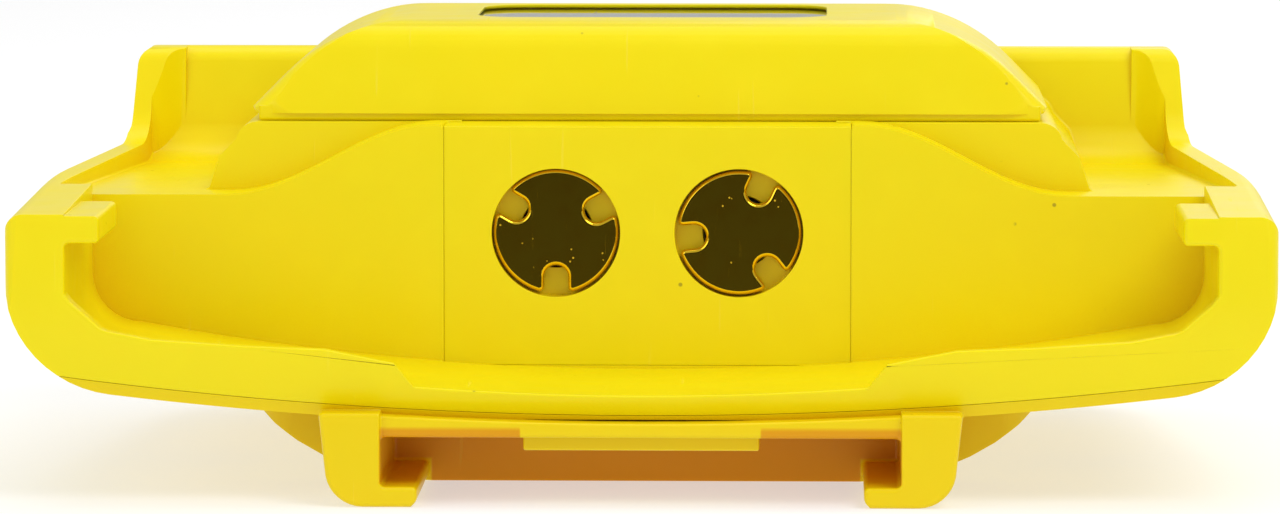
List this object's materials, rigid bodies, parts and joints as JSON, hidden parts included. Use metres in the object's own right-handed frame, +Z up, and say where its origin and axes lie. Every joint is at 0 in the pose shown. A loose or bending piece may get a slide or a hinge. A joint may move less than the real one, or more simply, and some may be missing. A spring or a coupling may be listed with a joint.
{
  "type": "dive computer",
  "caption": "Wide wrist dive computer module with a raised display housing, an open contact bay in front, strap hooks beneath and a coin-slot battery cap.",
  "frame": {"origin": "centre of the bounding box at the level of the strap hooks' feet, on which the part rests", "axes": "+X to the right across the case, +Y from the contact bay to the far end, +Z up through the display"},
  "size_m": [0.0804, 0.0616, 0.0295],
  "materials": {
    "yellow_plastic": "semi-gloss moulded plastic",
    "window_clear": "clear hard-coated window",
    "mask_print": "printed border",
    "lcd_glass": "grey-green display glass",
    "light_panel": "white light guide",
    "black_plastic": "matt",
    "connector_foam": "layered conductive rubber",
    "board_laminate": "solder resist over glass laminate",
    "chip_resin": "moulded resin",
    "board_component": "plated cans",
    "gold_plate": "polished gold plating",
    "spring_brass": "bare",
    "steel": "satin stainless steel",
    "seal_rubber": "black nitrile rubber",
    "flex_film": "amber film"
  },
  "bodies": {
    "case": {"upper_case": "yellow_plastic", "back_case": "yellow_plastic", "display_housing": "yellow_plastic", "display_window": "window_clear", "window_seal": "seal_rubber", "display_mask": "mask_print", "lcd_panel": "lcd_glass", "backlight": "light_panel", "lcd_frame": "black_plastic", "lcd_connector_front": "connector_foam", "lcd_connector_rear": "connector_foam", "circuit_board": "board_laminate", "processor": "chip_resin", "board_parts": "board_component", "buzzer": "spring_brass", "housing_screws": "steel", "contact_block": "yellow_plastic", "contact_left": "gold_plate", "contact_right": "gold_plate", "contact_seals": "seal_rubber", "contact_nuts": "spring_brass", "contact_leads": "spring_brass", "pressure_sensor": "steel", "sensor_seal": "seal_rubber", "sensor_lead": "flex_film", "sensor_guard": "black_plastic", "case_seal": "seal_rubber", "case_screws": "steel", "battery_cell": "steel", "battery_spring": "steel", "battery_clip": "spring_brass"},
    "cap": {"battery_cap": "yellow_plastic", "battery_cap_seal": "seal_rubber"},
    "latch_front": {"strap_latch_front": "yellow_plastic"},
    "latch_rear": {"strap_latch_rear": "yellow_plastic"}
  },
  "joints": [
    {"name": "battery_cap_turn", "type": "hinge", "parent": "case", "child": "cap", "pos_m": [-0.0045, 0.0033, 0], "axis": [0, 0, 1], "range_deg": [0, 60]},
    {"name": "front_latch_lift", "type": "hinge", "parent": "case", "child": "latch_front", "pos_m": [0, -0.0185, 0.0049], "axis": [-1, 0, 0], "range_deg": [0, 5], "stiffness_Nm_per_rad": 0.4},
    {"name": "rear_latch_lift", "type": "hinge", "parent": "case", "child": "latch_rear", "pos_m": [0, 0.0185, 0.0049], "axis": [1, 0, 0], "range_deg": [0, 5], "stiffness_Nm_per_rad": 0.4}
  ]
}
